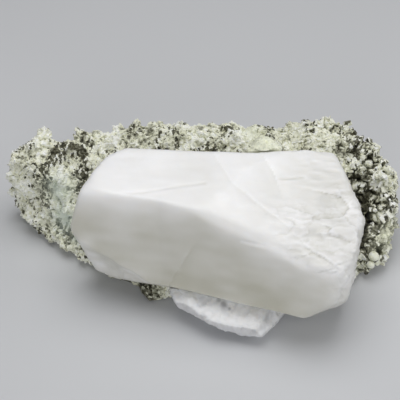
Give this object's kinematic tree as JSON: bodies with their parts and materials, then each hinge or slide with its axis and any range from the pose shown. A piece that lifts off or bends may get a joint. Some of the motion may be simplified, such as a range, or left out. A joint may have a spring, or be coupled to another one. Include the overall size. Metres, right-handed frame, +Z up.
{
  "type": "quartz crystal on matrix",
  "caption": "Large milky quartz crystal lying across a loose piece of rough matrix rock, with a smaller broken quartz crystal below its front edge.",
  "frame": {"origin": "on the flat base of the rock, below the middle of the specimen", "axes": "+Z up from the base, +X to the right along the large crystal, +Y to the back, away from the crystal's front face"},
  "size_m": [0.1866, 0.1039, 0.0651],
  "materials": {
    "matrix_rock": "matte",
    "milky_quartz": "satin",
    "broken_quartz": "satin"
  },
  "bodies": {
    "root": {"matrix": "matrix_rock", "main_crystal": "milky_quartz", "lower_crystal": "broken_quartz"}
  },
  "joints": []
}
